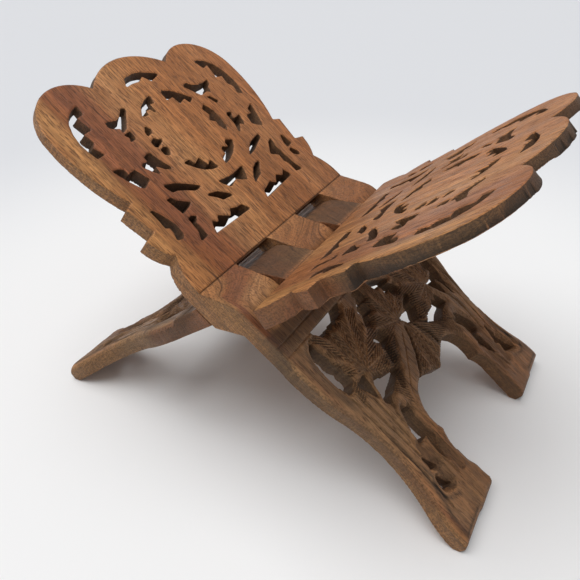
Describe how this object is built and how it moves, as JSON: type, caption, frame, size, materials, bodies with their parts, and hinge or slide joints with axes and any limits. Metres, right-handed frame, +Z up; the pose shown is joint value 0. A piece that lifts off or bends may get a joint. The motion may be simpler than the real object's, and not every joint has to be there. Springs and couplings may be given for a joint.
{
  "type": "folding book stand",
  "caption": "Carved wooden folding book stand of interlocked leaves cut from one plank, crossing in an X to hold an open book.",
  "frame": {"origin": "on the surface that the stand stands on, under the middle of the hinge axis, with the stand open to its stop", "axes": "+Z up, Y along the hinge axis with the front edge at -Y, +X towards the rest of the two-knuckle leaf and the feet of the three-knuckle leaf"},
  "size_m": [0.3344, 0.2031, 0.2352],
  "materials": {
    "carved_wood": "thin oil finish, satin, with open grain and hand-tool marks"
  },
  "bodies": {
    "three_knuckle_side": {"three_knuckle_leaf": "carved_wood"},
    "two_knuckle_side": {"two_knuckle_leaf": "carved_wood"}
  },
  "joints": [
    {"name": "fold", "type": "hinge", "parent": "three_knuckle_side", "child": "two_knuckle_side", "pos_m": [0, 0, 0.11857], "axis": [0, -1, 0], "range_deg": [0, 105.9]}
  ]
}
